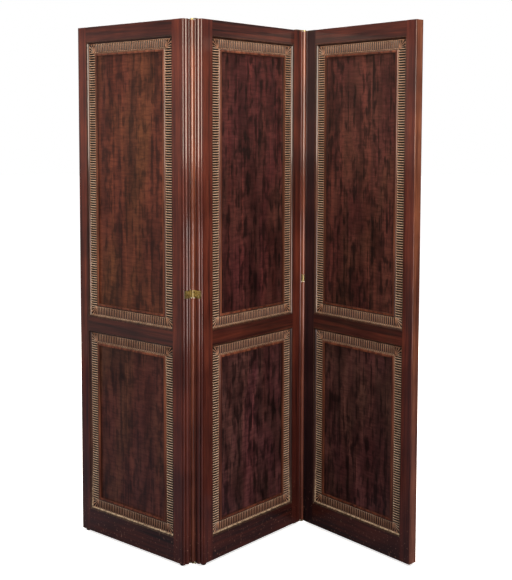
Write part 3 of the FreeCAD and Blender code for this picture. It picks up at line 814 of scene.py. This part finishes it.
# cover beads: a round on each hinge line, so close to the neighbour's bead that no light passes
coverSizes = {
    "radius": 6.74, "web": (31, 35.5), "lower": (11.4, 912.3), "upper": (939.7, 1826.5), "ease": 0.3,
    "sides": 56, "crease": 25,
}


def makeCoverLength(name, end, side, face, span):
    size = coverSizes
    x = end + leafSizes["pivotEnd"] * side
    piece = addRound(name, x, backLine if face > 0 else frontLine, size["radius"], span, size["sides"])
    startEdit(piece)
    bevelEdges(piece, size["ease"], 2, lambda edge: not runsAlong(edge, "z", 1))
    endEdit()
    web = size["web"] if face > 0 else [leafSizes["thick"] - edge for edge in size["web"]]
    combine(piece, addBox(name + "_web", sorted((end, x)), sorted(web), span), "UNION")
    smooth(piece, size["crease"])
    return piece


for fold, hinge in zip(("left", "right"), hingedEnds["middle"]):
    node = fold + "_fold_cover_bead"
    lengths = []
    for word in ("lower", "upper"):
        lengths.append(makeCoverLength(node + "_" + word, *hinge[:3], coverSizes[word]))
    cover = joinPieces(node + "_wood", lengths)
    dress(cover, coverWood)
    finishPiece(cover, "middle", "mahogany_frame", node)
print("cover beads made")

# panels and brass keep their CAD shapes and take these finishes
for name, node in frame["nodes"].items():
    if name.endswith("_panel"):
        dress(node, panelWoods[name.replace("_leaf", "").replace("_panel", "")])
    elif "_fold_" in name and not name.endswith("_cover_bead"):
        dress(node, brass)

# brass screws: countersunk heads with a slot, two to each plate and blade; blade faces are top, then bottom
screwSizes = {
    "radius": 2.6, "proud": 0.3, "deep": 0.9, "dome": 0.35, "slotWide": 0.7, "slotDeep": 0.5,
    "plateFace": 2.5, "plateDepth": 16, "plateLevels": (919.5, 932.5),
    "bladeDepth": 30.5, "bladeSteps": (-30, -15), "pin": (1829.5, 8.5), "eye": (1832.5, 5.5),
    "sides": 24, "crease": 35, "turn": 37,
}


def makeScrew(name):
    size = screwSizes
    room = cutRoom["open"]
    half = size["slotWide"] / 2
    piece = addRound(name, 0, 0, size["radius"], (-size["deep"], size["proud"]), size["sides"])

    def onTop(edge):
        return all(near(vert.co.z, size["proud"]) for vert in edge.verts)

    startEdit(piece)
    bevelEdges(piece, size["dome"], 2, onTop)
    endEdit()
    cutBox(piece, (-room, room), (-half, half), (size["proud"] - size["slotDeep"], room))
    smooth(piece, size["crease"])
    return piece


def screwSpots(end, side, face, blade):  # place of each head, and its turn about y
    size = screwSizes
    plateDepth, bladeDepth = size["plateDepth"], size["bladeDepth"]
    if face < 0:
        plateDepth, bladeDepth = leafSizes["thick"] - plateDepth, leafSizes["thick"] - bladeDepth
    spots = []
    for z in size["plateLevels"]:
        spots.append(((end + size["plateFace"] * side, plateDepth, z), side * 90))
    top, bottom = size[blade]
    for x in size["bladeSteps"]:
        spots.append(((end + x * side, bladeDepth, top), 0))
        spots.append(((end + x * side, bladeDepth, bottom), 180))
    return spots


screwMaster = makeScrew("screw")
for leaf, ends in hingedEnds.items():
    spots = []
    for hinge in ends:
        spots += screwSpots(*hinge)
    heads = []
    for number, (spot, tilt) in enumerate(spots):
        driven = Matrix.Rotation(math.radians(screwSizes["turn"] * number), 4, "Z")
        place = Matrix.Translation(mm(*spot)) @ Matrix.Rotation(math.radians(tilt), 4, "Y") @ driven
        heads.append(moveTo(copyPiece(screwMaster, "screw_copy"), place))
    screws = joinPieces(leaf + "_leaf_screws", heads)
    dress(screws, screwBrass)
    finishPiece(screws, leaf, "hinge_brass")
bpy.data.objects.remove(screwMaster)
print("screws set")

# studio: pale floor that runs into a white ground, and dims towards the wood so that it isn't veiled
floorSettings = {"size": 60, "seen": "#f2f2f0", "glow": (0.7, 1.0), "reach": (1.0, 3.0), "bounce": "#5c5d68"}
onlySelect()
bpy.ops.mesh.primitive_plane_add(size=floorSettings["size"], location=(0, 0, 0))
floor = bpy.context.object
floor.name = "floor"
floorPaint, tree, place = newMaterial("floor_matt_white")
away = addNode(tree, "ShaderNodeVectorMath", {"operation": "LENGTH"}, {}, {0: place})["Value"]
glow = addNode(tree, "ShaderNodeMapRange", {},
               {"From Min": floorSettings["reach"][0], "From Max": floorSettings["reach"][1],
                "To Min": floorSettings["glow"][0], "To Max": floorSettings["glow"][1]}, {"Value": away})[0]
surface = setSurface(tree, {"Emission Strength": glow},
                     {"Base Color": toLinear(floorSettings["seen"]), "Roughness": 0.9,
                      "Specular IOR Level": 0, "Emission Color": (1, 1, 1, 1)})
ray = addNode(tree, "ShaderNodeLightPath", {}, {}, {})["Is Camera Ray"]
bounce = addNode(tree, "ShaderNodeBsdfDiffuse", {}, {"Color": toLinear(floorSettings["bounce"])}, {})[0]
mixed = addNode(tree, "ShaderNodeMixShader", {}, {}, {"Fac": ray, 1: bounce, 2: surface.outputs[0]})[0]
tree.links.new(mixed, tree.nodes["Material Output"].inputs["Surface"])
dress(floor, floorPaint)

# white ground for the camera, a dim fill for the wood
groundSettings = {"fill": 0.16, "seen": 1.0}
world = bpy.data.worlds.new("studio")
bpy.context.scene.world = world
world.use_nodes = True
tree = world.node_tree
ray = addNode(tree, "ShaderNodeLightPath", {}, {}, {})["Is Camera Ray"]
level = addNode(tree, "ShaderNodeMapRange", {},
                {"To Min": groundSettings["fill"], "To Max": groundSettings["seen"]}, {"Value": ray})[0]
tree.nodes["Background"].inputs["Color"].default_value = (1, 1, 1, 1)
tree.links.new(level, tree.nodes["Background"].inputs["Strength"])

# soft boxes: place, aim, width and height, brightness of the cloth, lamp colour, spread in degrees
lampSettings = {
    "front_box": ((-0.3, -3.5, 1.8), (-0.3, 0, 2.3), (4.2, 1.1), 16.5, "#ffeddb", 80),
    "right_box": ((1.8, -3.0, 0.35), (0, 0, 0.1), (2.2, 1.0), 14.0, "#ffeee8", 62),
    "left_box": ((-3.4, -0.2, 1.0), (0, -0.2, 1.0), (2.6, 2.2), 0.2, "#fff4ea", 180),
    "top_box": ((0, -0.9, 3.3), (0, -0.9, 0), (5.0, 3.4), 1.8, "#fff4ea", 180),
    "over_box": ((0, -0.1, 3.3), (0, -0.1, 0), (4.6, 0.9), 13.0, "#fff4ea", 100),
    "back_box": ((0.3, 3.6, 2.0), (0, 0, 1.0), (3.6, 2.2), 5.5, "#fff4ea", 180),
}
for name, (spot, goal, span, glow, colour, spread) in lampSettings.items():
    onlySelect()
    bpy.ops.object.light_add(type="AREA", location=spot)
    lamp = bpy.context.object
    lamp.name = name
    lamp.data.shape = "RECTANGLE"
    lamp.data.size, lamp.data.size_y = span
    half = math.radians(min(spread, 179) / 2)
    gathered = 1 - half / math.tan(half)  # a grid over the cloth gathers the light
    lamp.data.energy = glow * math.pi * span[0] * span[1] * gathered
    lamp.data.spread = math.radians(spread)
    lamp.data.color = toLinear(colour)[:3]
    lamp.rotation_euler = (Vector(goal) - Vector(spot)).to_track_quat("-Z", "Y").to_euler()
    lamp.visible_camera = False

# camera: standing eye height, a little left of the middle, frame 512 x 580
cameraSettings = {
    "spot": (-92.1, -3410.3, 1460.4), "yaw": 2.317, "pitch": -4.08, "roll": 0.151,
    "lens": 61.074, "shiftY": -0.15,
}
onlySelect()
bpy.ops.object.camera_add()
camera = bpy.context.object
look = Matrix.Rotation(math.radians(-cameraSettings["yaw"]), 4, "Z")
look = look @ Matrix.Rotation(math.radians(90 + cameraSettings["pitch"]), 4, "X")
look = look @ Matrix.Rotation(math.radians(cameraSettings["roll"]), 4, "Z")
camera.matrix_world = Matrix.Translation(mm(*cameraSettings["spot"])) @ look
camera.data.lens = cameraSettings["lens"]
camera.data.shift_y = cameraSettings["shiftY"]
bpy.context.scene.camera = camera
bpy.context.scene.view_settings.view_transform = "Standard"
print("studio set")
